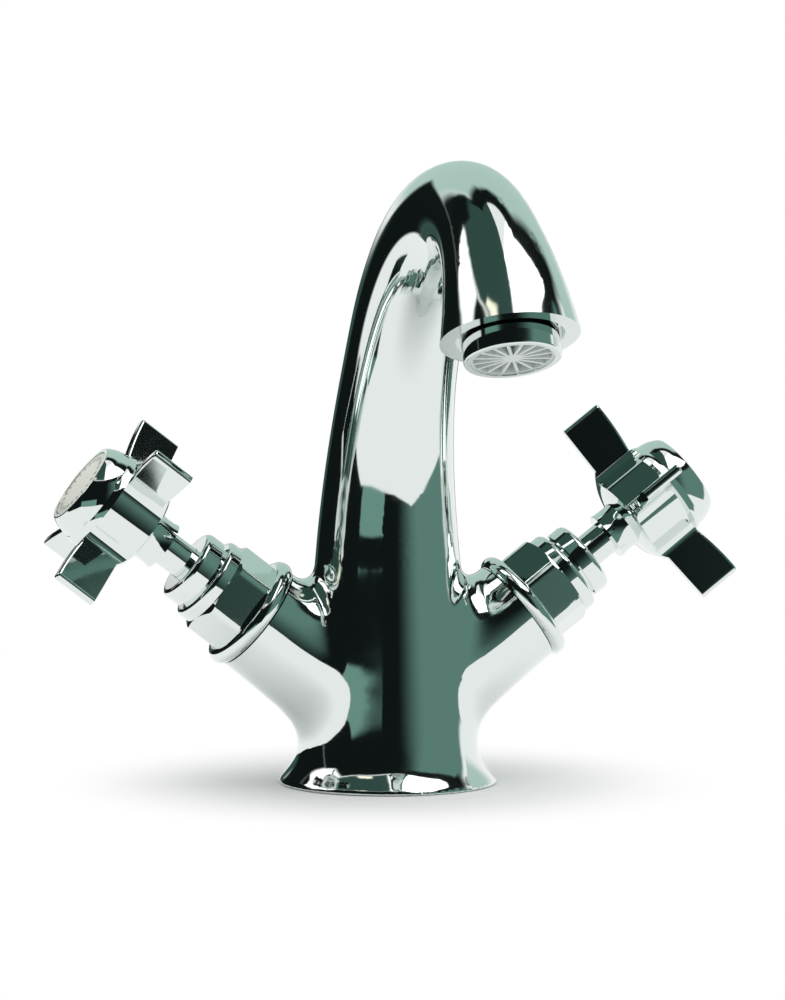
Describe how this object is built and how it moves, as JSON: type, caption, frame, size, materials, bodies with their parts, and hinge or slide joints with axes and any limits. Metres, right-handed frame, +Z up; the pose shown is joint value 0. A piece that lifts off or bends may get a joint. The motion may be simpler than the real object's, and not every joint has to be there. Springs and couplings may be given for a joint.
{
  "type": "basin mixer tap",
  "caption": "Deck-mounted chrome basin mixer with a swan-neck spout, raised side valves, cross handles and an aerator outlet.",
  "frame": {"origin": "centre of the foot's underside, on the basin face", "axes": "+Z up; the spout reaches towards -Y; the hot valve is on -X and the cold valve on +X"},
  "size_m": [0.1762, 0.1506, 0.1551],
  "materials": {
    "body_chrome": "polished",
    "trim_chrome": "polished",
    "handle_chrome": "polished",
    "index_enamel": "glossy enamel",
    "rubber": "matte",
    "aerator_plastic": "satin",
    "white_plastic": "satin",
    "steel": "satin",
    "ceramic": "lapped"
  },
  "bodies": {
    "tap": {"tap_body": "body_chrome", "foot_seal": "rubber", "aerator_housing": "trim_chrome", "aerator_insert": "aerator_plastic", "aerator_screen": "steel", "aerator_washer": "rubber", "hot_seat_seal": "rubber", "hot_fixed_disc": "ceramic", "hot_bonnet": "trim_chrome", "hot_bead_ring": "trim_chrome", "hot_bonnet_seal": "rubber", "hot_gland_nut": "trim_chrome", "cold_seat_seal": "rubber", "cold_fixed_disc": "ceramic", "cold_bonnet": "trim_chrome", "cold_bead_ring": "trim_chrome", "cold_bonnet_seal": "rubber", "cold_gland_nut": "trim_chrome"},
    "hot_handle_set": {"hot_moving_disc": "ceramic", "hot_spindle": "trim_chrome", "hot_friction_washer": "white_plastic", "hot_spindle_seals": "rubber", "hot_circlip": "steel", "hot_handle": "handle_chrome", "hot_handle_screw": "steel", "hot_index_cap": "handle_chrome", "hot_index_disc": "index_enamel"},
    "cold_handle_set": {"cold_moving_disc": "ceramic", "cold_spindle": "trim_chrome", "cold_friction_washer": "white_plastic", "cold_spindle_seals": "rubber", "cold_circlip": "steel", "cold_handle": "handle_chrome", "cold_handle_screw": "steel", "cold_index_cap": "handle_chrome", "cold_index_disc": "index_enamel"}
  },
  "joints": [
    {"name": "hot_handle_turn", "type": "hinge", "parent": "tap", "child": "hot_handle_set", "pos_m": [-0.05539, 0, 0.05911], "axis": [-0.7912, 0, 0.6115], "range_deg": [0, 90]},
    {"name": "cold_handle_turn", "type": "hinge", "parent": "tap", "child": "cold_handle_set", "pos_m": [0.05539, 0, 0.05911], "axis": [-0.7912, 0, -0.6115], "range_deg": [0, 90]}
  ]
}
